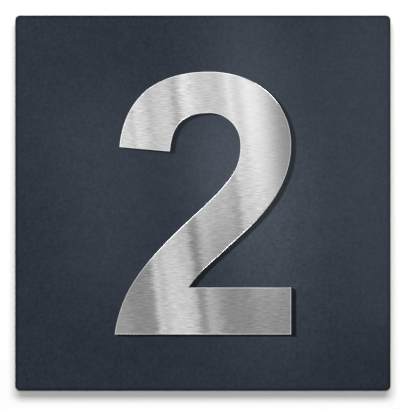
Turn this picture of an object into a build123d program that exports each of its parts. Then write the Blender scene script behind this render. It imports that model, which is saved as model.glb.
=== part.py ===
from build123d import *
from math import cos, radians, sin, tan
import os

# House number plaque: a brushed steel figure 2, bolted through a painted square plate that stands
# off the wall on four studs and spacer sleeves. No fixing shows from the front.
# Millimetres, +Z up, the front faces -Y. The origin is on the wall, behind the middle of the plate.

# Back plate
plate_side = 200.0
plate_thickness = 2.0
plate_corner_radius = 2.5
plate_edge_radius = 0.4

# Numeral: overall size, cut from sheet and centred on the plate
numeral_height = 140.0
numeral_width = 94.0
numeral_thickness = 3.0
numeral_edge_radius = 0.4

# Rounded edges of the plate and the numeral, cut in short facets
edge_facets = 3

# Numeral: width of each stroke
top_stroke = 22.0
bowl_stroke = 27.0
hook_stroke = 27.0
diagonal_stroke = 24.6
bar_height = 25.0

# Numeral: places along the outline, each from the nearest side or the middle of the figure
apex_right_of_centre = 3.4
bowl_below_top = 39.0
hook_below_top = 40.2
hook_from_left = 2.5
waist_left_of_centre = 4.0
waist_below_centre = 6.0
bowl_return_reach = 32.6
notch_bend_rise = 11.4

# Numeral: headings in degrees, counted from the right-hand side towards the top
hook_heading = 85.0
diagonal_heading = 42.4
notch_heading = 56.0
foot_heading = 82.0

# Numeral: fullness of each curve, the share of the way that its handles reach to its corner
outer_arch_fullness = 0.65
outer_shoulder_fullness = 0.585
bowl_return_fullness = 0.67
notch_fullness = 0.68
foot_sweep_fullness = 0.776
inner_bowl_fullness = 0.82
inner_shoulder_fullness = 0.56
inner_arch_fullness = 0.71

# Studs, washers and nuts that hold the numeral (M4)
numeral_stud_diameter = 4.0
numeral_flange_diameter = 5.5
numeral_flange_height = 0.8
numeral_stud_end = 2.0
flange_hole_clearance = 0.25
washer_thickness = 0.8
washer_clearance = 0.15
washer_overlap = 1.5
nut_height = 3.2
nut_wall = 1.5
nut_sides = 6
nut_thread_clearance = 0.05
nut_corner_slope = 30.0
stud_tip_chamfer = 0.5

# Where those studs sit in the strokes
hook_stud_reach = 13.0
foot_stud_from_left = 20.0
bar_stud_from_right = 14.0

# Studs and spacer sleeves that hold the plate off the wall (M5)
wall_stud_diameter = 5.0
wall_flange_diameter = 6.5
wall_flange_height = 1.0
wall_stud_from_edge = 20.0
wall_stud_embedment = 32.0
wall_gap_behind_studs = 2.0
sleeve_clearance = 0.5
sleeve_wall = 1.75
sleeve_end_chamfer = 0.3

# Depths in front of the wall
nut_stack = washer_thickness + nut_height + numeral_stud_end
plate_back = nut_stack + wall_gap_behind_studs
plate_front = plate_back + plate_thickness
washer_back = plate_back - washer_thickness

# Half sizes and sizes that follow from the fits
half_height = numeral_height / 2
half_width = numeral_width / 2
numeral_stud_length = plate_thickness + nut_stack
wall_stud_length = plate_back + wall_stud_embedment
flange_hole_diameter = numeral_flange_diameter + 2 * flange_hole_clearance


def toward(heading, length):
    """Step of a length along a heading in degrees."""
    return Vector(length, 0).rotate(Axis.Z, heading)


def crossing(start, start_heading, end, end_heading):
    """Point where the lines through two places, each at its heading, cross."""
    leaving = toward(start_heading, 1)
    arriving = toward(end_heading, 1)
    reach = (end - start).cross(arriving).Z / leaving.cross(arriving).Z
    return start + leaving * reach


# Corners and turning points of the numeral, in its own plane
bar_top = bar_height - half_height
hook_outer = Vector(hook_from_left - half_width, half_height - hook_below_top)
hook_inner = hook_outer + toward(hook_heading - 90, hook_stroke)
apex_outer = Vector(apex_right_of_centre, half_height)
apex_inner = apex_outer - Vector(0, top_stroke)
bowl_outer = Vector(half_width, half_height - bowl_below_top)
bowl_inner = bowl_outer - Vector(bowl_stroke, 0)
bar_top_right = Vector(half_width, bar_top)
bar_foot_right = Vector(half_width, -half_height)
foot_left = Vector(-half_width, -half_height)

# The diagonal: its upper side turns at the waist, and its lower side is straight from the bowl to the
# bend above the notch, which has equal legs on both headings
waist_upper = Vector(-waist_left_of_centre, -waist_below_centre)
waist_lower = waist_upper + toward(diagonal_heading - 90, diagonal_stroke)
return_corner = crossing(waist_lower, diagonal_heading, bowl_outer, 90)
straight_top = return_corner - toward(diagonal_heading, bowl_return_reach)
straight_foot = crossing(waist_lower, diagonal_heading, Vector(0, bar_top + notch_bend_rise), 0)
bend_leg = notch_bend_rise / (sin(radians(diagonal_heading)) + sin(radians(notch_heading)))
notch = straight_foot - toward(diagonal_heading, bend_leg) - toward(notch_heading, bend_leg)

# The outline clockwise from the hook: place, heading on arrival, heading on leaving, and the fullness of
# the curve that follows, or None where a straight run follows
outline_places = [
    (hook_outer, hook_heading + 90, hook_heading, outer_arch_fullness),
    (apex_outer, 0, 0, outer_shoulder_fullness),
    (bowl_outer, -90, -90, bowl_return_fullness),
    (straight_top, diagonal_heading + 180, diagonal_heading + 180, None),
    (straight_foot, diagonal_heading + 180, diagonal_heading + 180, notch_fullness),
    (notch, notch_heading + 180, 0, None),
    (bar_top_right, 0, -90, None),
    (bar_foot_right, -90, 180, None),
    (foot_left, 180, foot_heading, foot_sweep_fullness),
    (waist_upper, diagonal_heading, diagonal_heading, inner_bowl_fullness),
    (bowl_inner, 90, 90, inner_shoulder_fullness),
    (apex_inner, 180, 180, inner_arch_fullness),
    (hook_inner, hook_heading + 180, hook_heading + 90, None),
]

# Stud places, as X and Z: one in the hook, one in the bowl and two in the foot of the numeral
hook_stud = (hook_outer + hook_inner) * 0.5 + toward(hook_heading, hook_stud_reach)
bowl_stud = (bowl_outer + bowl_inner) * 0.5
bar_middle = bar_top - bar_height / 2
numeral_stud_places = [
    (hook_stud.X, hook_stud.Y),
    (bowl_stud.X, bowl_stud.Y),
    (foot_stud_from_left - half_width, bar_middle),
    (half_width - bar_stud_from_right, bar_middle),
]
wall_stud_reach = plate_side / 2 - wall_stud_from_edge
wall_stud_places = {
    "top_left": (-wall_stud_reach, wall_stud_reach),
    "top_right": (wall_stud_reach, wall_stud_reach),
    "bottom_left": (-wall_stud_reach, -wall_stud_reach),
    "bottom_right": (wall_stud_reach, -wall_stud_reach),
}


def facing_wall(shape, place, depth):
    """A shape built up the Z axis, turned to point at the wall, with its foot at a depth."""
    across, up = place
    return Plane(origin=(across, -depth, up), x_dir=(1, 0, 0), z_dir=(0, 1, 0)) * shape


def turned(profile):
    """A solid of revolution about Z from (radius, height) points."""
    section = Plane.XZ * make_face(Polyline(*profile, close=True))
    return revolve(section, Axis.Z)


def quarter_round(radius):
    """Steps of a rounded edge as (inset, rise) pairs, from the side wall to the face."""
    angles = [radians(90 * step / edge_facets) for step in range(edge_facets + 1)]
    return [(radius * (1 - cos(angle)), radius * sin(angle)) for angle in angles]


def stacked(outline, levels):
    """Solid through an outline at (depth, inset) levels, with straight walls between them."""
    wires = [Plane.XZ.offset(depth) * outline(inset) for depth, inset in levels]
    return Solid.make_loft(wires, ruled=True)


def plate_outline(inset):
    """Square with rounded corners, moved inwards by an inset."""
    side = plate_side - 2 * inset
    return RectangleRounded(side, side, plate_corner_radius - inset).wire()


def numeral_outline(inset):
    """Outline of the figure 2, moved inwards by an inset with every heading kept.

    The handles of a curve reach its fullness of the way to the corner where its headings cross.
    """
    places = []
    for place, arriving, leaving, _ in outline_places:
        inwards = toward(arriving - 90, 1)
        next_inwards = toward(leaving - 90, 1)
        places.append(place + (inwards + next_inwards) * (inset / (1 + inwards.dot(next_inwards))))
    edges = []
    for index, (_, _, leaving, fullness) in enumerate(outline_places):
        following = (index + 1) % len(outline_places)
        start = places[index]
        end = places[following]
        if fullness is None:
            edges.append(Line(start, end))
        else:
            corner = crossing(start, leaving, end, outline_places[following][1])
            start_handle = start + (corner - start) * fullness
            end_handle = end + (corner - end) * fullness
            edges.append(Bezier(start, start_handle, end_handle, end))
    return Wire(edges)


def make_backing_plate():
    """Square sheet with both rims rounded and a hole for each stud of the numeral."""
    steps = quarter_round(plate_edge_radius)
    back_rim = [(plate_back + plate_edge_radius - rise, inset) for inset, rise in reversed(steps)]
    front_rim = [(plate_front - plate_edge_radius + rise, inset) for inset, rise in steps]
    plate = stacked(plate_outline, back_rim + front_rim)
    hole = extrude(Circle(flange_hole_diameter / 2), plate_thickness)
    for place in numeral_stud_places:
        plate -= facing_wall(hole, place, plate_front)
    return plate


def make_numeral():
    """Figure 2 cut from sheet, flat on the plate, with its front edge rounded."""
    round_foot = plate_front + numeral_thickness - numeral_edge_radius
    front_rim = [(round_foot + rise, inset) for inset, rise in quarter_round(numeral_edge_radius)]
    return stacked(numeral_outline, [(plate_front, 0)] + front_rim)


def make_weld_stud(diameter, length, flange_diameter, flange_height):
    """Stud with a welding flange at its foot and a bevelled tip. Its thread is left plain."""
    radius = diameter / 2
    flange_radius = flange_diameter / 2
    profile = [
        (0, 0),
        (flange_radius, 0),
        (flange_radius, flange_height),
        (radius, flange_height),
        (radius, length - stud_tip_chamfer),
        (radius - stud_tip_chamfer, length),
        (0, length),
    ]
    return turned(profile)


def make_washer():
    """Flat washer that covers the plate's hole."""
    bore_radius = numeral_stud_diameter / 2 + washer_clearance
    outer_radius = flange_hole_diameter / 2 + washer_overlap
    return extrude(Circle(outer_radius) - Circle(bore_radius), washer_thickness)


def make_nut():
    """Hexagon nut with its outer corners turned back at both ends and a plain bore."""
    bore_radius = numeral_stud_diameter / 2 + nut_thread_clearance
    flat_radius = numeral_stud_diameter / 2 + nut_wall
    corner_radius = flat_radius / cos(radians(180 / nut_sides))
    corner_drop = (corner_radius - flat_radius) * tan(radians(nut_corner_slope))
    hexagon = extrude(RegularPolygon(flat_radius, nut_sides, major_radius=False), nut_height)
    blank = turned([
        (bore_radius, 0),
        (flat_radius, 0),
        (corner_radius, corner_drop),
        (corner_radius, nut_height - corner_drop),
        (flat_radius, nut_height),
        (bore_radius, nut_height),
    ])
    return hexagon & blank


def make_spacer_sleeve():
    """Turned sleeve from the plate to the wall, clear of the stud's flange, bevelled at both outer ends."""
    bore_radius = wall_flange_diameter / 2 + sleeve_clearance
    outer_radius = bore_radius + sleeve_wall
    profile = [
        (bore_radius, 0),
        (outer_radius - sleeve_end_chamfer, 0),
        (outer_radius, sleeve_end_chamfer),
        (outer_radius, plate_back - sleeve_end_chamfer),
        (outer_radius - sleeve_end_chamfer, plate_back),
        (bore_radius, plate_back),
    ]
    return turned(profile)


def group(shape, places, depth):
    """Copies of one fastener at several places, kept as separate solids."""
    return Compound([facing_wall(shape, place, depth).solid() for place in places])


numeral_stud = make_weld_stud(
    numeral_stud_diameter, numeral_stud_length, numeral_flange_diameter, numeral_flange_height
)
wall_stud = make_weld_stud(
    wall_stud_diameter, wall_stud_length, wall_flange_diameter, wall_flange_height
)

nodes = {
    "backing_plate": make_backing_plate(),
    "numeral_two": make_numeral(),
    "numeral_studs": group(numeral_stud, numeral_stud_places, plate_front),
    "numeral_washers": group(make_washer(), numeral_stud_places, plate_back),
    "numeral_nuts": group(make_nut(), numeral_stud_places, washer_back),
    "wall_studs": group(wall_stud, wall_stud_places.values(), plate_back),
}
for corner, place in wall_stud_places.items():
    nodes["spacer_sleeve_" + corner] = facing_wall(make_spacer_sleeve(), place, plate_back)

os.makedirs("parts", exist_ok=True)
for name, shape in nodes.items():
    export_step(shape, f"parts/{name}.step")
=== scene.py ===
# %% [markdown]
# # House number plaque
# A square sheet-steel plate, powder-coated in anthracite, carries a figure 2 cut from brushed stainless
# steel. The plate stands a little off the wall on four studs, so that it throws a soft shadow.
# The measured solids come from CAD and are loaded first, in metres, with +Z up and the front facing -Y.
# This lesson then adds what CAD leaves out: the camera, the cut threads, the finishes, the wall and the
# light.

# %% Load the CAD parts
import math

import bpy
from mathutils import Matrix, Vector


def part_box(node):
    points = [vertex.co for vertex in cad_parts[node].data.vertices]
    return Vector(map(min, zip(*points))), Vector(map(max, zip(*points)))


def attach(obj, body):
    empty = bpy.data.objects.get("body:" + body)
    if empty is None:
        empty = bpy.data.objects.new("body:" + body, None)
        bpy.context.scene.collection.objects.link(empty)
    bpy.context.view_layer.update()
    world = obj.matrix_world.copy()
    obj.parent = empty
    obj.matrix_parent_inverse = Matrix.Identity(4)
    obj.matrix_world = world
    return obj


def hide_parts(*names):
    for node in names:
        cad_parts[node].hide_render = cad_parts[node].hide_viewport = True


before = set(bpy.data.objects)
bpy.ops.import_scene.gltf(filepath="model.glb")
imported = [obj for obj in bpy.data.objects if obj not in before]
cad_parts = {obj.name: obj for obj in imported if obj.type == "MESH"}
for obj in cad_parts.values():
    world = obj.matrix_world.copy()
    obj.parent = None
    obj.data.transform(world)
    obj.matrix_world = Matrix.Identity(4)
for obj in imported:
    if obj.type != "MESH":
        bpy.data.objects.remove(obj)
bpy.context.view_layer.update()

MM = 0.001
scene = bpy.context.scene

# %% [markdown]
# ## Camera
# The photograph looks straight at the plaque, so the plate is a true square in it. A long lens far away
# gives that look: the figure's face hides its own side walls, as it does in the photograph. The distance
# follows from the height that the picture has to cover at the plate's front. The plate isn't quite in the
# middle of the picture. Moving the camera sideways by that little keeps the view square, where turning it
# would not.

# %% Place the camera
picture_height_on_plate = 218.1 * MM
plate_off_centre = Vector((1.26, 0, 0.77)) * MM
lens_length = 500
sensor_side = 36
plate_front_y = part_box("backing_plate")[0].y
camera_distance = picture_height_on_plate * lens_length / sensor_side

camera_data = bpy.data.cameras.new("plaque_camera")
camera_data.lens = lens_length
camera_data.sensor_width = sensor_side
camera = bpy.data.objects.new("plaque_camera", camera_data)
scene.collection.objects.link(camera)
camera.location = Vector((0, plate_front_y - camera_distance, 0)) - plate_off_centre
camera.rotation_euler = (math.radians(90), 0, 0)
scene.camera = camera
scene.view_settings.view_transform = "Standard"
print("Camera stands", round(camera_distance, 3), "m in front of the plate")

# %% [markdown]
# ## Threaded studs
# The plaque hangs on studs: short rods with a rolled thread and a small flange at the foot, which is welded
# to the back. The CAD solids are plain rods. A thread could be a stack of rings, but a real one climbs, so
# one turn of its outline is drawn by extruding a single point, and the Screw modifier sweeps it up a helix.
# The helix is then cut to length, and a Boolean keeps only what lies inside the stud's bevelled outside.
# Modelling is in millimetres here, because operators work best on sizes near one, and the finished stud is
# scaled to metres.

# %% Helpers for modelling
def pick(piece):
    """Leaves one piece selected and active, ready for an operator."""
    bpy.ops.object.select_all(action="DESELECT")
    piece.select_set(True)
    bpy.context.view_layer.objects.active = piece


def apply_modifier(piece, kind, **settings):
    """Adds a modifier to a piece, sets it and applies it."""
    pick(piece)
    modifier = piece.modifiers.new(kind.title(), kind)
    for name, value in settings.items():
        setattr(modifier, name, value)
    bpy.ops.object.modifier_apply(modifier=modifier.name)


def select_edges(piece, chosen):
    """Leaves a piece in edit mode with those edges selected whose ends both pass a test."""
    bpy.ops.object.mode_set(mode="EDIT")
    bpy.ops.mesh.select_mode(type="EDGE")
    bpy.ops.mesh.select_all(action="DESELECT")
    bpy.ops.object.mode_set(mode="OBJECT")
    points = piece.data.vertices
    for edge in piece.data.edges:
        edge.select = all(chosen(points[index].co) for index in edge.vertices)
    bpy.ops.object.mode_set(mode="EDIT")


print("Modelling helpers ready")

# %% Helper: a rod with a bevelled end
rod_sides = 64
touching = 0.001


def bevelled_rod(radius, length, bevel, segments):
    """A rod on the origin, up the Z axis, with its upper rim bevelled."""
    bpy.ops.object.select_all(action="DESELECT")
    bpy.ops.mesh.primitive_cylinder_add(vertices=rod_sides, radius=radius, depth=length,
                                        location=(0, 0, length / 2))
    rod = bpy.context.object
    bpy.ops.object.transform_apply()
    select_edges(rod, lambda place: place.z > length - touching)
    bpy.ops.mesh.bevel(offset=bevel, segments=segments, affect="EDGES")
    bpy.ops.object.mode_set(mode="OBJECT")
    return rod


print("Rods have", rod_sides, "sides")

# %% Helper: a helix from one turn of the thread
steps_per_turn = 24
spare_turns = 2
thread_depth_share = 0.6134
crest_share = 1 / 8
root_share = 1 / 4
flank_share = (1 - crest_share - root_share) / 2


def thread_helix(crest_radius, pitch, foot, length):
    """A thread from its foot to the stud's end, closed flat at both."""
    depth = thread_depth_share * pitch
    bpy.ops.object.select_all(action="DESELECT")
    bpy.ops.mesh.primitive_plane_add(size=pitch)
    helix = bpy.context.object
    bpy.ops.object.mode_set(mode="EDIT")
    bpy.ops.mesh.select_mode(type="VERT")
    bpy.ops.mesh.select_all(action="SELECT")
    bpy.ops.mesh.merge(type="CENTER")
    bpy.ops.transform.translate(value=(crest_radius - depth, 0, foot - spare_turns * pitch))
    for outwards, share in ((0, root_share), (depth, flank_share), (0, crest_share), (-depth, flank_share)):
        bpy.ops.mesh.extrude_region_move(TRANSFORM_OT_translate={"value": (outwards, 0, share * pitch)})
    bpy.ops.object.mode_set(mode="OBJECT")
    turns = math.ceil((length - foot) / pitch) + 2 * spare_turns
    apply_modifier(helix, "SCREW", angle=2 * math.pi, screw_offset=pitch, iterations=turns,
                   steps=steps_per_turn, render_steps=steps_per_turn)
    bpy.ops.object.mode_set(mode="EDIT")
    bpy.ops.mesh.select_all(action="SELECT")
    bpy.ops.mesh.remove_doubles(threshold=touching)
    for height, keep_above in ((foot, True), (length, False)):
        bpy.ops.mesh.select_all(action="SELECT")
        bpy.ops.mesh.bisect(plane_co=(0, 0, height), plane_no=(0, 0, 1), use_fill=True,
                            clear_inner=keep_above, clear_outer=not keep_above)
    bpy.ops.mesh.select_all(action="SELECT")
    bpy.ops.mesh.normals_make_consistent(inside=False)
    bpy.ops.object.mode_set(mode="OBJECT")
    return helix


print("One turn of a thread has", steps_per_turn, "steps")

# %% Helper: a whole stud
tip_bevel = 0.5
flange_bevel = 0.2
crest_inside_share = 0.995
smooth_below = math.radians(30)


def threaded_stud(name, diameter, pitch, length, flange_diameter, flange_height):
    """A stud in metres on the origin, up the Z axis, with a mark of how near each point is to the crests."""
    radius = diameter / 2
    crest_radius = crest_inside_share * radius
    depth = thread_depth_share * pitch
    stud = thread_helix(crest_radius, pitch, flange_height / 2, length)
    stud.name = name
    outside = bevelled_rod(radius, length, tip_bevel, segments=1)
    flange = bevelled_rod(flange_diameter / 2, flange_height, flange_bevel, segments=2)
    apply_modifier(stud, "BOOLEAN", operation="INTERSECT", object=outside, solver="EXACT")
    apply_modifier(stud, "BOOLEAN", operation="UNION", object=flange, solver="EXACT")
    for cutter in (outside, flange):
        bpy.data.objects.remove(cutter)
    crest = stud.data.attributes.new("crest", "FLOAT", "POINT")
    for point, mark in zip(stud.data.vertices, crest.data):
        mark.value = min(1, max(0, 1 + (point.co.xy.length - crest_radius) / depth))
    pick(stud)
    stud.scale = (MM, MM, MM)
    bpy.ops.object.transform_apply()
    bpy.ops.object.shade_smooth_by_angle(angle=smooth_below)
    return stud


print("A stud's crests reach", crest_inside_share, "of its radius")

# %% Helpers: measure the CAD studs and set the new ones in their place
turn_between_copies = 75
quarters = ((-1, 1), (1, 1), (-1, -1), (1, -1))


def measure_studs(node_name):
    """In mm: the axes of a node's studs, one in each quarter of the plate, their length and their flange."""
    low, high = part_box(node_name)
    length = round((high.y - low.y) / MM, 3)
    places = [point.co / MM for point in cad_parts[node_name].data.vertices]
    axes = []
    for right_side, up_side in quarters:
        stud = [place for place in places if place.x * right_side > 0 and place.z * up_side > 0]
        across = [place.x for place in stud]
        up = [place.z for place in stud]
        axes.append((round((min(across) + max(across)) / 2, 3), round((min(up) + max(up)) / 2, 3)))
        flange_diameter = round(max(across) - min(across), 3)
    print(node_name, "stand at", axes, "and are", length, "mm long")
    return axes, length, flange_diameter


def set_studs(stud, axes, node_name):
    """Copies a stud to its axes, pointing at the wall, and joins the copies in place of a CAD node."""
    foot_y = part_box(node_name)[0].y
    copies = []
    for number, (across, up) in enumerate(axes):
        pick(stud)
        bpy.ops.object.duplicate(linked=False)
        copy = bpy.context.object
        copy.location = (across * MM, foot_y, up * MM)
        copy.rotation_euler = (math.radians(-90), math.radians(turn_between_copies * number), 0)
        copies.append(copy)
    bpy.data.objects.remove(stud)
    pick(copies[0])
    for copy in copies:
        copy.select_set(True)
    bpy.ops.object.join()
    joined = bpy.context.object
    bpy.ops.object.transform_apply()
    joined.name = node_name + "_threaded"
    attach(joined, "root")
    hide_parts(node_name)
    print("Made", joined.name, "with", len(joined.data.polygons), "faces")
    return joined


# %% Make the studs
wall_stud_axes, wall_stud_length, wall_flange = measure_studs("wall_studs")
wall_stud = threaded_stud("wall_stud", diameter=5.0, pitch=0.8, length=wall_stud_length,
                          flange_diameter=wall_flange, flange_height=1.0)
wall_studs = set_studs(wall_stud, wall_stud_axes, "wall_studs")

numeral_stud_axes, numeral_stud_length, numeral_flange = measure_studs("numeral_studs")
numeral_stud = threaded_stud("numeral_stud", diameter=4.0, pitch=0.7, length=numeral_stud_length,
                             flange_diameter=numeral_flange, flange_height=0.8)
numeral_studs = set_studs(numeral_stud, numeral_stud_axes, "numeral_studs")

# %% [markdown]
# ## Node helpers
# Every finish below is a small network of nodes. Networks are quick to draw by hand and long to write out,
# so short helpers keep the cells readable: one adds a node and sets or links its inputs by name, and the
# others stand for the few nodes that come back all the time. A group is a network with named inputs and
# outputs that several materials can share.

# %% Helpers for nodes
def set_inputs(tree, node, **inputs):
    """Sets or links a node's inputs, by name or, as _0, by number."""
    for name, value in inputs.items():
        number = name[1:]
        socket = node.inputs[int(number) if number.isdigit() else name.replace("_", " ")]
        if isinstance(value, bpy.types.NodeSocket):
            tree.links.new(value, socket)
        else:
            socket.default_value = value


def add_node(tree, kind, settings=None, **inputs):
    """Adds a node, changes its own settings, and sets or links its inputs."""
    made = tree.nodes.new(kind)
    for name, value in (settings or {}).items():
        setattr(made, name, value)
    set_inputs(tree, made, **inputs)
    return made


def calc(tree, operation, first, second=0.0, third=0.0, clamp=False):
    """A Math node. Returns its result."""
    settings = {"operation": operation, "use_clamp": clamp}
    return add_node(tree, "ShaderNodeMath", settings, _0=first, _1=second, _2=third).outputs[0]


def split(tree, vector):
    """A Separate XYZ node. Returns its three results."""
    return tuple(add_node(tree, "ShaderNodeSeparateXYZ", Vector=vector).outputs)


def combine(tree, x, y, z):
    """A Combine XYZ node. Returns its vector."""
    return add_node(tree, "ShaderNodeCombineXYZ", X=x, Y=y, Z=z).outputs[0]


def vector_calc(tree, operation, **inputs):
    """A Vector Math node. Returns its vector."""
    return add_node(tree, "ShaderNodeVectorMath", {"operation": operation}, **inputs).outputs[0]


print("Node helpers ready")

# %% Helpers for ranges and blends
noise_low, noise_high = 0.3, 0.7


def remap(tree, value, low, high, to_low=0.0, to_high=1.0, smooth=True):
    """A Map Range node from one range to another. Returns its result."""
    settings = {"interpolation_type": "SMOOTHSTEP" if smooth else "LINEAR"}
    return add_node(tree, "ShaderNodeMapRange", settings, Value=value, From_Min=low, From_Max=high,
                    To_Min=to_low, To_Max=to_high).outputs["Result"]


def spread(tree, noise, low=0.0, high=1.0):
    """Stretches the middle of a noise, where nearly all of it lies, evenly from low to high."""
    return remap(tree, noise, noise_low, noise_high, low, high, smooth=False)


def blend_values(tree, factor, first, second):
    """Goes evenly from one value to another. Returns the result."""
    return remap(tree, factor, 0.0, 1.0, first, second, smooth=False)


def blend_colours(tree, factor, first, second):
    """A Mix node for colours. Returns its result."""
    return add_node(tree, "ShaderNodeMix", {"data_type": "RGBA"}, _0=factor, _6=first, _7=second).outputs[2]


print("Noise is read from", noise_low, "to", noise_high)

# %% Helpers for materials and groups
def empty_material(name):
    """A material without nodes. Returns the material and its tree."""
    material = bpy.data.materials.new(name)
    material.use_nodes = True
    material.node_tree.nodes.clear()
    return material, material.node_tree


def new_material(name):
    """A material with a Principled shader. Returns the material, its tree and the shader."""
    material, tree = empty_material(name)
    shader = add_node(tree, "ShaderNodeBsdfPrincipled")
    add_node(tree, "ShaderNodeOutputMaterial", Surface=shader.outputs["BSDF"])
    return material, tree, shader


def object_millimetres(tree):
    """The place on the object in millimetres, as a vector socket."""
    place = add_node(tree, "ShaderNodeTexCoord").outputs["Object"]
    return vector_calc(tree, "SCALE", _0=place, Scale=1 / MM)


def add_bump(tree, shader, height, strength, depth, **inputs):
    """Gives a shader a bump with a depth in mm."""
    bump = add_node(tree, "ShaderNodeBump", Height=height, Strength=strength, Distance=depth * MM, **inputs)
    set_inputs(tree, shader, Normal=bump.outputs["Normal"])


def new_group(name, inputs, outputs):
    """An empty node group with named sockets. Returns the group and its two end nodes."""
    group = bpy.data.node_groups.new(name, "ShaderNodeTree")
    for label, kind, value in inputs:
        socket = group.interface.new_socket(label, in_out="INPUT", socket_type=kind)
        if value is not None:
            socket.default_value = value
    for label, kind in outputs:
        group.interface.new_socket(label, in_out="OUTPUT", socket_type=kind)
    return group, group.nodes.new("NodeGroupInput"), group.nodes.new("NodeGroupOutput")


def place_group(tree, group, output, **inputs):
    """Places a group in a material. Returns the named output."""
    return add_node(tree, "ShaderNodeGroup", {"node_tree": group}, **inputs).outputs[output]


print("Material helpers ready")

# %% [markdown]
# ## Shared surface effects
# Two effects come back in several finishes. Fine lines are noise that is stretched one way: brushing and
# turning both leave them. Grain is noise that is the same in all directions, for a powder coat's texture
# and for the patches of zinc. Each could be built again in every material, but as a group one network
# serves all of them, and each material only gives its own sizes.

# %% Group: fine lines
lines_group, lines_in, lines_out = new_group(
    "fine_lines",
    [
        ("Place", "NodeSocketVector", None),
        ("Length", "NodeSocketFloat", 8.0),
        ("Width", "NodeSocketFloat", 0.3),
    ],
    [("Lines", "NodeSocketFloat")],
)
line_x, line_y, line_z = split(lines_group, lines_in.outputs["Place"])
along = calc(lines_group, "DIVIDE", line_x, lines_in.outputs["Length"])
deep = calc(lines_group, "DIVIDE", line_y, lines_in.outputs["Width"])
across = calc(lines_group, "DIVIDE", line_z, lines_in.outputs["Width"])
stretched = combine(lines_group, along, deep, across)
line_noise = add_node(lines_group, "ShaderNodeTexNoise", Vector=stretched, Scale=1.0,
                      Detail=2.0, Roughness=0.6)
set_inputs(lines_group, lines_out, Lines=line_noise.outputs["Fac"])
print("Group:", lines_group.name)

# %% Group: grain
grain_group, grain_in, grain_out = new_group(
    "grain",
    [
        ("Place", "NodeSocketVector", None),
        ("Size", "NodeSocketFloat", 1.0),
    ],
    [("Grain", "NodeSocketFloat")],
)
grain_scale = calc(grain_group, "DIVIDE", 1.0, grain_in.outputs["Size"])
grain_noise = add_node(grain_group, "ShaderNodeTexNoise", Vector=grain_in.outputs["Place"], Scale=grain_scale,
                       Detail=2.0, Roughness=0.55)
set_inputs(grain_group, grain_out, Grain=grain_noise.outputs["Fac"])
print("Group:", grain_group.name)

# %% [markdown]
# ## Powder coat on the plate
# Powder coat is a paint that is sprayed on dry and baked. It leaves a matt skin with a very fine
# orange-peel texture. A plain dark colour would look like plastic. The coat's grain shows as faint
# mottling in the photograph, so grain at three sizes changes the colour and the roughness a little, and the
# finest one also gives the bump. The coat draws back from the rim as it melts, so the last two millimetres
# are darker.

# %% Material: powder-coated steel
coat_colour_dark = (0.0168, 0.0229, 0.0334, 1)
coat_colour_light = (0.0309, 0.0408, 0.0572, 1)
coat_colour_rim = (0.0085, 0.0115, 0.0165, 1)
cloud_share = 0.25
rim_width = 2.2
plate_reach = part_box("backing_plate")[1].x / MM

powder_coat, tree, shader = new_material("powder_coated_steel")
place = object_millimetres(tree)
clouds = place_group(tree, grain_group, "Grain", Place=place, Size=9.0)
mottle = place_group(tree, grain_group, "Grain", Place=place, Size=1.6)
texture = place_group(tree, grain_group, "Grain", Place=place, Size=0.35)
patchy = calc(tree, "MULTIPLY_ADD", clouds, cloud_share, calc(tree, "MULTIPLY", mottle, 1 - cloud_share))
coat = blend_colours(tree, spread(tree, patchy), coat_colour_dark, coat_colour_light)
x, _, z = split(tree, place)
from_middle = calc(tree, "MAXIMUM", calc(tree, "ABSOLUTE", x), calc(tree, "ABSOLUTE", z))
rim = remap(tree, from_middle, plate_reach - rim_width, plate_reach)
set_inputs(tree, shader, Base_Color=blend_colours(tree, rim, coat, coat_colour_rim),
           Roughness=spread(tree, texture, low=0.32, high=0.40), Specular_IOR_Level=0.08)
add_bump(tree, shader, texture, strength=0.35, depth=0.02)
print("Made", powder_coat.name)

# %% [markdown]
# ## Brushed stainless steel
# The figure was brushed from side to side with an abrasive belt before it was cut. Each groove is a short
# fine line, and the belt pressed less hard on the side of the bowl, where the lines are fainter. Lines
# drawn as an image would blur up close, so they are stretched noise. The side wall keeps the marks of the
# cut, which run straight through the sheet, so the same group is used there with its axes swapped.

# %% Brushed steel: grooves and cut marks
bowl_rise = 0.5
belt_full, belt_light = 26.0, 50.0
light_pressure = 0.36
noise_middle = 0.5

brushed_steel, tree, shader = new_material("brushed_stainless")
place = object_millimetres(tree)
x, y, z = split(tree, place)
hairlines = place_group(tree, lines_group, "Lines", Place=place, Length=4.5, Width=0.22)
long_lines = place_group(tree, lines_group, "Lines", Place=place, Length=7.0, Width=0.4)
cut_marks = place_group(tree, lines_group, "Lines", Place=combine(tree, y, x, z), Length=4.0, Width=0.2)
towards_bowl = calc(tree, "MULTIPLY_ADD", z, bowl_rise, x)
belt_pressure = remap(tree, towards_bowl, belt_full, belt_light, 1.0, light_pressure)
off_middle = calc(tree, "SUBTRACT", hairlines, noise_middle)
grooves = calc(tree, "MULTIPLY_ADD", off_middle, belt_pressure, noise_middle)
print("Grooves on", brushed_steel.name, "weaken from", belt_full, "to", belt_light, "mm towards the bowl")

# %% [markdown]
# The rounded edge was polished when the burr was taken off, and its tone is raised further as a painted
# highlight, past what polished steel reflects, so it is brighter than the face. The side wall is duller.
# The three could be separate materials, but the CAD solid has only one. They are told apart by the way that
# the surface faces: how far its normal points to the front.

# %% Brushed steel: tone and roughness of face, edge and side wall
face_ends, edge_starts = 0.995, 0.97
edge_ends, wall_starts = 0.25, 0.1
edge_polish_highlight_tone, edge_polish_highlight_range = 0.9, 0.1

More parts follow.
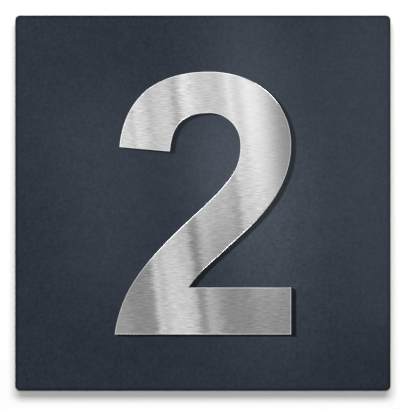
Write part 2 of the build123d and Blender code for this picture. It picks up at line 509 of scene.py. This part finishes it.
surface_normal = add_node(tree, "ShaderNodeNewGeometry").outputs["Normal"]
facing_front = calc(tree, "ABSOLUTE", split(tree, surface_normal)[1])
off_face = remap(tree, facing_front, face_ends, edge_starts)
on_wall = remap(tree, facing_front, edge_ends, wall_starts)
face_level = spread(tree, grooves, low=0.41, high=0.79)
# Painted highlight on top of real polish: the edge's tone goes past what polished steel reflects, to draw a
# bright line.
edge_polish_highlight_level = calc(tree, "MULTIPLY_ADD", hairlines, edge_polish_highlight_range, edge_polish_highlight_tone)
wall_level = spread(tree, cut_marks, low=0.30, high=0.48)
steel_level = blend_values(tree, off_face, face_level, edge_polish_highlight_level)
steel_level = blend_values(tree, on_wall, steel_level, wall_level)
steel = add_node(tree, "ShaderNodeCombineColor", Red=steel_level, Green=steel_level, Blue=steel_level)
face_roughness = spread(tree, grooves, low=0.17, high=0.21)
wall_roughness = 0.42
set_inputs(tree, shader, Base_Color=steel.outputs[0], Metallic=1.0,
           Roughness=blend_values(tree, on_wall, face_roughness, wall_roughness))
print("Face ends where its normal points", face_ends, "to the front")

# %% [markdown]
# Grooves blur a reflection up and down but hardly sideways. That is what the shader's anisotropy does when
# its tangent points across the grooves. Each groove also leans a little to one side, which shifts what it
# mirrors and makes the edges of the bright bands ragged, as on real brushed steel. A bump gives slopes and
# no even lean, so longer lines tilt the normal first, and the bump is added to that.

# %% Brushed steel: relief, lean and direction of the grooves
groove_lean = 0.016
# The tangent leans with the belt, and its Y part keeps it from vanishing where the surface faces up or down
groove_tangent = (-0.12, 0.2, 1.0)

lean = calc(tree, "MULTIPLY", spread(tree, long_lines, -groove_lean, groove_lean), belt_pressure)
leaning = vector_calc(tree, "ADD", _0=surface_normal, _1=combine(tree, lean, 0.0, 0.0))
leaning = vector_calc(tree, "NORMALIZE", _0=leaning)
relief = blend_values(tree, on_wall, hairlines, cut_marks)
add_bump(tree, shader, relief, strength=0.3, depth=0.01, Normal=leaning)
set_inputs(tree, shader, Tangent=combine(tree, *groove_tangent), Anisotropic=1.0)
print("Made", brushed_steel.name)

# %% [markdown]
# ## Rolled thread
# The studs are stainless too, but their thread is rolled: the crests are burnished bright and the roots stay
# dull. A pattern in space can't follow a thread that climbs, so the stud was given a mark of how near each
# point is to the crests, and the finish reads that mark.

# %% Material: rolled thread
root_colour = (0.24, 0.235, 0.225, 1)
crest_colour = (0.60, 0.60, 0.585, 1)
root_roughness, crest_roughness = 0.48, 0.26
crest_weight = 0.75
smear_weight = 0.5

stainless_thread, tree, shader = new_material("stainless_thread")
crest = add_node(tree, "ShaderNodeAttribute", {"attribute_name": "crest"}).outputs["Fac"]
smear = place_group(tree, grain_group, "Grain", Place=object_millimetres(tree), Size=0.8)
crest_part = calc(tree, "MULTIPLY", crest, crest_weight)
worn = calc(tree, "MULTIPLY_ADD", smear, smear_weight, crest_part, clamp=True)
set_inputs(tree, shader, Base_Color=blend_colours(tree, worn, root_colour, crest_colour), Metallic=1.0,
           Roughness=blend_values(tree, worn, root_roughness, crest_roughness))
add_bump(tree, shader, smear, strength=0.2, depth=0.01)
print("Made", stainless_thread.name)

# %% [markdown]
# ## Zinc plating
# The washers and nuts are zinc plated. Plating dries in pale patches, so coarse grain mixes two tints, and
# fine grain changes the roughness. Next to the plate the washers are darker, partly from dust that collects
# there and partly as painted shade between the parts. Both pieces share one material, and the height above
# the plate tells them apart.

# %% Material: zinc plating
plated_cool = (0.50, 0.53, 0.57, 1)
plated_warm = (0.66, 0.65, 0.62, 1)
grime_and_shade_cool = (0.26, 0.27, 0.29, 1)
grime_and_shade_warm = (0.38, 0.37, 0.36, 1)
patch_low, patch_high = 0.35, 0.65
grime_and_shade_full, grime_and_shade_gone = 0.05, 0.4
washer_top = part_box("numeral_washers")[1].y / MM

zinc_plate, tree, shader = new_material("zinc_plated_steel")
place = object_millimetres(tree)
patches = place_group(tree, grain_group, "Grain", Place=place, Size=2.4)
speckle = place_group(tree, grain_group, "Grain", Place=place, Size=0.25)
tint = remap(tree, patches, patch_low, patch_high)
plated = blend_colours(tree, tint, plated_cool, plated_warm)
grimy_and_shaded = blend_colours(tree, tint, grime_and_shade_cool, grime_and_shade_warm)
# Dust and painted shade: the washers turn darker next to the plate, where the parts meet.
above_washer = remap(tree, split(tree, place)[1], washer_top + grime_and_shade_full, washer_top + grime_and_shade_gone)
set_inputs(tree, shader, Base_Color=blend_colours(tree, above_washer, grimy_and_shaded, plated), Metallic=1.0,
           Roughness=spread(tree, speckle, low=0.26, high=0.42))
add_bump(tree, shader, speckle, strength=0.25, depth=0.01)
print("Made", zinc_plate.name, "with grime up to", round(washer_top, 2), "mm")

# %% [markdown]
# ## Turned aluminium
# The spacer sleeves are turned on a lathe, which leaves fine rings round their axis. Blender's own ring
# texture is centred on the origin, but the four sleeves have four axes. They are all at the same distance
# from the middle, so the place is folded into one quarter and measured from the axis there. Fine lines that
# follow the distance from that axis plus the height along it are rings, on a sleeve's side and on its ends.

# %% Material: turned aluminium
groove_colour = (0.58, 0.59, 0.61, 1)
land_colour = (0.72, 0.73, 0.74, 1)
corner_reach = max(across for across, up in wall_stud_axes)

turned_aluminium, tree, shader = new_material("turned_aluminium")
x, y, z = split(tree, object_millimetres(tree))
off_axis = [calc(tree, "SUBTRACT", calc(tree, "ABSOLUTE", side), corner_reach) for side in (x, z)]
squares = [calc(tree, "MULTIPLY", value, value) for value in off_axis]
off_axis_radius = calc(tree, "SQRT", calc(tree, "ADD", *squares))
ring_place = combine(tree, calc(tree, "ADD", *off_axis), 0.0, calc(tree, "ADD", y, off_axis_radius))
rings = place_group(tree, lines_group, "Lines", Place=ring_place, Length=12.0, Width=0.16)
set_inputs(tree, shader, Base_Color=blend_colours(tree, spread(tree, rings), groove_colour, land_colour),
           Roughness=spread(tree, rings, low=0.40, high=0.28), Metallic=1.0)
add_bump(tree, shader, rings, strength=0.4, depth=0.02)
print("Made", turned_aluminium.name, "with rings round axes at", corner_reach, "mm")

# %% [markdown]
# ## Finishes on their pieces
# A CAD node has one material slot, which keeps its place, and the finish goes into it. The threaded studs
# are new meshes, so they get a slot of their own.

# %% Put the finishes on
finishes = {
    "backing_plate": powder_coat,
    "numeral_two": brushed_steel,
    "numeral_washers": zinc_plate,
    "numeral_nuts": zinc_plate,
}
for corner in ("top_left", "top_right", "bottom_left", "bottom_right"):
    finishes["spacer_sleeve_" + corner] = turned_aluminium
for node_name, finish in finishes.items():
    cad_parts[node_name].material_slots[0].material = finish
for piece in (wall_studs, numeral_studs):
    piece.data.materials.clear()
    piece.data.materials.append(stainless_thread)
print("Finished nodes:", sorted(finishes))

# %% [markdown]
# ## Wall
# The plaque hangs on a plain white wall, which is only a backdrop here and no part of the object. It is
# one large sheet just behind the ends of the sleeves. Seen from behind it is clear, and it blocks no light,
# so that the plaque's back can be looked at too.

# %% Helpers for the backdrop
def upright_sheet(name, side, y):
    """A square sheet that stands upright and faces the camera."""
    bpy.ops.object.select_all(action="DESELECT")
    bpy.ops.mesh.primitive_plane_add(size=side, location=(0, y, 0), rotation=(math.radians(90), 0, 0))
    sheet = bpy.context.object
    sheet.name = name
    bpy.ops.object.transform_apply()
    return sheet


def hide_from(piece, *kinds_of_ray):
    """Hides an object from kinds of ray, such as the camera's."""
    for kind in kinds_of_ray:
        setattr(piece, "visible_" + kind, False)


print("Backdrop helpers ready")

# %% Make the wall
wall_side = 6.0
wall_behind_sleeves = 0.3 * MM
wall_colour = (0.92, 0.92, 0.92, 1)

wall = upright_sheet("white_wall", wall_side, wall_behind_sleeves)
wall_paint, tree = empty_material("white_wall_paint")
matt = add_node(tree, "ShaderNodeBsdfDiffuse", Color=wall_colour)
clear = add_node(tree, "ShaderNodeBsdfTransparent")
behind = add_node(tree, "ShaderNodeNewGeometry").outputs["Backfacing"]
either = add_node(tree, "ShaderNodeMixShader", _0=behind, _1=matt.outputs[0], _2=clear.outputs[0])
add_node(tree, "ShaderNodeOutputMaterial", Surface=either.outputs[0])
wall.data.materials.append(wall_paint)
hide_from(wall, "diffuse", "glossy", "transmission", "volume_scatter", "shadow")
print("Wall at y =", round(wall_behind_sleeves / MM, 2), "mm")

# %% [markdown]
# ## World
# The world is a white studio: white where the camera or a reflection sees it, and a soft low light
# elsewhere. One level for all rays would either grey the white or flood the plaque with light.

# %% Make the world
ambient_level = 0.12

world = bpy.data.worlds.new("white_studio")
scene.world = world
world.use_nodes = True
tree = world.node_tree
tree.nodes.clear()
rays = add_node(tree, "ShaderNodeLightPath")
seen = calc(tree, "MAXIMUM", rays.outputs["Is Camera Ray"], rays.outputs["Is Glossy Ray"])
seen = calc(tree, "MAXIMUM", seen, rays.outputs["Is Transmission Ray"])
light = add_node(tree, "ShaderNodeBackground", Color=(1, 1, 1, 1),
                 Strength=blend_values(tree, seen, ambient_level, 1.0))
add_node(tree, "ShaderNodeOutputWorld", Surface=light.outputs[0])
print("World lights at", ambient_level, "and shows as white")

# %% [markdown]
# ## Lamps
# A photographer flags each lamp so that it reaches one thing only. Light linking does that here: a lamp
# names a collection of objects that it lights. A softbox from the upper left lights the plaque and gives
# the figure its short shadow, and one behind the wall lights the back. Both are kept out of reflections,
# because the steel gets its own card to mirror.

# %% Helpers for lamps
def place_lamp(name, kind, place, aim, power, receivers):
    """A lamp that points at a place and shines on the objects of one collection only."""
    lamp = bpy.data.objects.new(name, bpy.data.lights.new(name, kind))
    scene.collection.objects.link(lamp)
    lamp.location = place
    lamp.rotation_euler = (Vector(aim) - Vector(place)).to_track_quat("-Z", "Y").to_euler()
    lamp.data.energy = power
    lamp.light_linking.receiver_collection = receivers
    return lamp


def softbox(name, place, aim, size, power, receivers):
    """A rectangular area light."""
    lamp = place_lamp(name, "AREA", place, aim, power, receivers)
    lamp.data.shape = "RECTANGLE"
    lamp.data.size, lamp.data.size_y = size
    return lamp


def lit_together(name, *pieces):
    """A collection of the objects that a lamp lights."""
    collection = bpy.data.collections.new(name)
    for piece in pieces:
        collection.objects.link(piece)
    return collection


print("Lamp helpers ready")

# %% Light the plaque
plaque_middle = (0, 0, 0)
key_place = (-2.0, -2.0, 0.9)
back_place = (1.6, 2.2, 1.2)

plaque_lit = lit_together("lit_plaque", *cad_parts.values(), wall_studs, numeral_studs)
key_softbox = softbox("key_softbox", key_place, plaque_middle, size=(0.4, 0.4), power=92,
                      receivers=plaque_lit)
back_softbox = softbox("back_softbox", back_place, plaque_middle, size=(1.2, 1.2), power=90,
                       receivers=plaque_lit)
hide_from(key_softbox, "glossy")
hide_from(back_softbox, "glossy")

# %% [markdown]
# ## Pool of light behind the figure
# The plate is brighter in a leaning pool round the figure. More light from the front would also fill the
# shadow that the figure throws on the plate. A spot with a narrow, squeezed cone shines there from the
# key's own place instead, so that the shadow stays dark.

# %% Light the pool behind the figure
pool_middle = (32 * MM, plate_front_y, -6 * MM)
pool_squeeze = 0.25
pool_turn = math.radians(5)
pool_spread = math.radians(3.6)
pool_colour = (1.0, 0.86, 0.74)

plate_lit = lit_together("lit_plate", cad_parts["backing_plate"])
pool_spot = place_lamp("pool_spot", "SPOT", key_place, pool_middle, power=580, receivers=plate_lit)
pool_spot.data.spot_size = pool_spread
pool_spot.data.spot_blend = 1.0
pool_spot.data.shadow_soft_size = 0.02
pool_spot.data.color = pool_colour
pool_spot.scale = (pool_squeeze, 1, 1)
pool_spot.rotation_euler.rotate_axis("Z", pool_turn)
hide_from(pool_spot, "glossy")

# %% [markdown]
# ## Light on the wall
# The wall is white in the photograph, with a soft shadow under the plate. A broad softbox above the plaque
# throws that shadow downwards, and a small one straight in front keeps the rest of the wall even.

# %% Light the wall
wall_lamp_y = -1.5
wash_height = 0.72

wall_lit = lit_together("lit_wall", wall)
softbox("wall_wash", (0, wall_lamp_y, wash_height), (0, 0, wash_height), size=(1.05, 0.66), power=25,
        receivers=wall_lit)
softbox("wall_front", (0, wall_lamp_y, 0), plaque_middle, size=(0.05, 0.05), power=7.5, receivers=wall_lit)
print("Wall lamps stand", -wall_lamp_y, "m in front of the wall")

# %% [markdown]
# ## Sheen on the plate
# The powder coat has a faint cool sheen in long soft strips. Paint that is lighter in places would not move
# with the view, so the sheen is made by strip lights close to the plate that only its gloss shows.

# %% Hang the strip lights
strip_distance = 110 * MM
strip_colour = (0.70, 0.82, 1.0)

# Each strip light: its top end and its bottom end as x and z in mm, its width in mm and its power
plate_strips = [
    ("strip_top", (17, 112), (32, 56), 24, 0.050),
    ("strip_top_right", (62, 120), (60, 70), 40, 0.014),
    ("strip_counter", (5, 45), (12, 0), 20, 0.046),
    ("strip_middle", (33, 45), (30, -46), 30, 0.060),
    ("strip_mid_right", (66, 85), (68, -15), 30, 0.034),
    ("strip_right", (97, 115), (97, -70), 26, 0.135),
    ("strip_left", (-60, 60), (-47, -52), 40, 0.076),
    ("strip_low", (27, -72), (30, -100), 40, 0.012),
]
for name, top, foot, width, power in plate_strips:
    top, foot = (Vector((x * MM, -strip_distance, z * MM)) for x, z in (top, foot))
    run = top - foot
    middle = (top + foot) / 2
    strip = softbox(name, middle, middle + Vector((0, 1, 0)), (width * MM, run.length), power, plate_lit)
    strip.rotation_euler.rotate_axis("Z", -math.atan2(run.x, run.z))
    strip.data.color = strip_colour
    strip.data.cycles.use_multiple_importance_sampling = False
    hide_from(strip, "diffuse")
print("Hung", len(plate_strips), "strip lights")

# %% [markdown]
# ## Rim lights
# The figure's rounded edge is less than half a millimetre wide, and in the photograph it draws a thin white
# line along the diagonal and the bowl. The edge is turned away from the face, so it mirrors what stands
# beside the figure. Three softboxes stand there, in the plane of its front, where the face can't see them.

# %% Stand the rim lights round the figure
rim_light_distance = 0.6
rim_light_size = (0.5, 0.25)
rim_light_y = -80 * MM

# Each rim light: its heading round the figure in degrees, from the right towards the top, and its power
rim_lights = {
    "rim_upper_left": (136, 1.9),
    "rim_upper_right": (48, 1.9),
    "rim_lower_right": (306, 3.2),
}
figure_lit = lit_together("lit_figure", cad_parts["numeral_two"])
for name, (heading, power) in rim_lights.items():
    turn = math.radians(heading)
    place = (math.cos(turn) * rim_light_distance, rim_light_y, math.sin(turn) * rim_light_distance)
    rim_light = softbox(name, place, (0, rim_light_y, 0), rim_light_size, power, figure_lit)
    hide_from(rim_light, "camera")

# %% [markdown]
# ## What the steel mirrors
# Brushed steel has little tone of its own. The upright bands on the figure are bright and dark parts of
# the studio, mirrored, and smeared up and down by the grooves. A photographer shapes them by hanging
# strips of light in front of the object. One card does that here: it glows in soft-edged upright strips,
# and only reflections see it, so it throws no light on the wall and hides nothing. The other way is to
# paint the bands on the steel, but then they stay put when the light or the view changes.

# %% Group: one soft strip of light
far_off = 400.0
usual_softness = 10.0

soft_strip_group, soft_in, soft_out = new_group(
    "soft_strip",
    [(label, "NodeSocketFloat", value) for label, value in (
        ("Across", 0.0), ("Up", 0.0), ("Strength", 0.0),
        ("Left", -far_off), ("Left Soft", usual_softness), ("Right", far_off), ("Right Soft", usual_softness),
        ("Foot", -far_off), ("Foot Soft", usual_softness), ("Top", far_off), ("Top Soft", usual_softness))],
    [("Glow", "NodeSocketFloat")],
)


def past_edge(value, edge):
    """Rises from 0 to 1 across an edge, over twice its softness."""
    middle, softness = soft_in.outputs[edge], soft_in.outputs[edge + " Soft"]
    low = calc(soft_strip_group, "SUBTRACT", middle, softness)
    high = calc(soft_strip_group, "ADD", middle, softness)
    return remap(soft_strip_group, soft_in.outputs[value], low, high)


glow = soft_in.outputs["Strength"]
for value, near_edge, far_edge in (("Across", "Left", "Right"), ("Up", "Foot", "Top")):
    before_far_edge = calc(soft_strip_group, "SUBTRACT", 1.0, past_edge(value, far_edge))
    within = calc(soft_strip_group, "MULTIPLY", past_edge(value, near_edge), before_far_edge)
    glow = calc(soft_strip_group, "MULTIPLY", glow, within)
set_inputs(soft_strip_group, soft_out, Glow=glow)
print("Group:", soft_strip_group.name)

# %% [markdown]
# Each strip is written down as it shows on the figure, and the card is a little further off, so the strips
# are spread on it by that much. Strips add up: two that overlap make a brighter line, and one with a
# strength below zero is a shade. Beyond the figure the card is brighter on the left, above and below, which
# lights the figure's rounded edge.

# %% Where the strips show on the figure
# Each strip: its strength, and the edges that it has, in mm. An edge is a place and its softness.
mirrored_strips = {
    "left_surround": (0.25, dict(Right=(-64.0, 5.0))),
    "hook_surround": (0.85, dict(Right=(-64.0, 5.0), Foot=(12.0, 20.0))),
    "upper_surround": (0.30, dict(Foot=(94.0, 5.0))),
    "lower_surround": (0.25, dict(Top=(-94.0, 5.0))),
    "hook_tip": (0.72, dict(Left=(-64.0, 5.0), Right=(-32.2, 2.6), Foot=(-4.0, 26.0))),
    "foot_outside": (0.11, dict(Left=(-64.0, 5.0), Right=(-46.5, 4.0))),
    "foot_bright": (0.49, dict(Left=(-31.2, 1.8), Right=(-9.4, 1.3))),
    "foot_line": (0.18, dict(Left=(-31.0, 0.8), Right=(-28.8, 0.8))),
    "foot_line_shade": (-0.10, dict(Left=(-28.6, 1.2), Right=(-25.4, 1.4), Top=(0.0, 20.0))),
    "foot_crown": (0.12, dict(Left=(-24.5, 2.0), Right=(-15.0, 4.0), Top=(-22.0, 14.0))),
    "hook_line": (0.21, dict(Left=(-31.8, 1.0), Right=(-24.8, 1.4), Foot=(13.0, 18.0))),
    "hook_shade": (-0.04, dict(Left=(-24.0, 1.5), Right=(-19.5, 2.0), Foot=(0.0, 25.0))),
    "hook_shoulder": (0.10, dict(Left=(-19.5, 2.0), Right=(-8.6, 1.4), Foot=(14.0, 14.0))),
    "diagonal_shade": (-0.09, dict(Left=(-17.0, 3.0), Right=(-4.0, 2.0), Foot=(-38.0, 10.0),
                                   Top=(-6.0, 12.0))),
    "diagonal_glow": (0.065, dict(Left=(4.5, 2.0), Right=(18.0, 1.6), Foot=(-24.0, 12.0),
                                  Top=(8.0, 10.0))),
    "crown_bright": (0.56, dict(Left=(-7.4, 2.4), Right=(-0.8, 2.1), Foot=(5.0, 23.0))),
    "bar_line": (0.28, dict(Left=(-5.0, 1.4), Right=(2.0, 4.4))),
    "crown_glow": (0.56, dict(Left=(-1.0, 2.4), Right=(16.5, 5.0), Foot=(-7.0, 40.0))),
    "bowl_line": (0.45, dict(Left=(15.9, 2.1), Right=(22.4, 4.0), Foot=(20.0, 22.0))),
    "bowl_bright": (0.57, dict(Left=(19.6, 1.4), Right=(39.6, 7.6), Foot=(-30.0, 29.0))),
    "bowl_crown": (0.39, dict(Left=(27.4, 3.0), Right=(45.0, 9.5), Foot=(10.0, 45.0))),
    "bar_glow": (0.05, dict(Left=(20.2, 5.9), Right=(29.9, 8.0))),
}
print("The steel mirrors", len(mirrored_strips), "strips")

# %% Make the card
card_side = 0.6
card_y = -65 * MM
card_level = 0.40
strip_lean = 0.1225
figure_front_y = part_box("numeral_two")[0].y
card_spread = 1 + (figure_front_y - card_y) / (figure_front_y - camera.location.y)

card = upright_sheet("strip_card", card_side, card_y)
card_glow, tree = empty_material("strip_card_glow")
on_figure = vector_calc(tree, "SCALE", _0=object_millimetres(tree), Scale=1 / card_spread)
x, _, up = split(tree, on_figure)
across = calc(tree, "MULTIPLY_ADD", up, strip_lean, x)
level = card_level
for name, (strength, edges) in mirrored_strips.items():
    sockets = {"Strength": strength}
    for edge, (middle, softness) in edges.items():
        sockets[edge] = middle
        sockets[edge + "_Soft"] = softness
    strip_glow = place_group(tree, soft_strip_group, "Glow", Across=across, Up=up, **sockets)
    strip_glow.node.label = name
    level = calc(tree, "ADD", strip_glow, level)
glowing = add_node(tree, "ShaderNodeEmission", Color=level, Strength=1.0)
add_node(tree, "ShaderNodeOutputMaterial", Surface=glowing.outputs[0])
card_glow.cycles.emission_sampling = "NONE"
card.data.materials.append(card_glow)
hide_from(card, "camera", "diffuse", "transmission", "volume_scatter", "shadow")
print("Card at y =", round(card_y / MM), "mm, with its strips spread", round(card_spread, 3), "times")
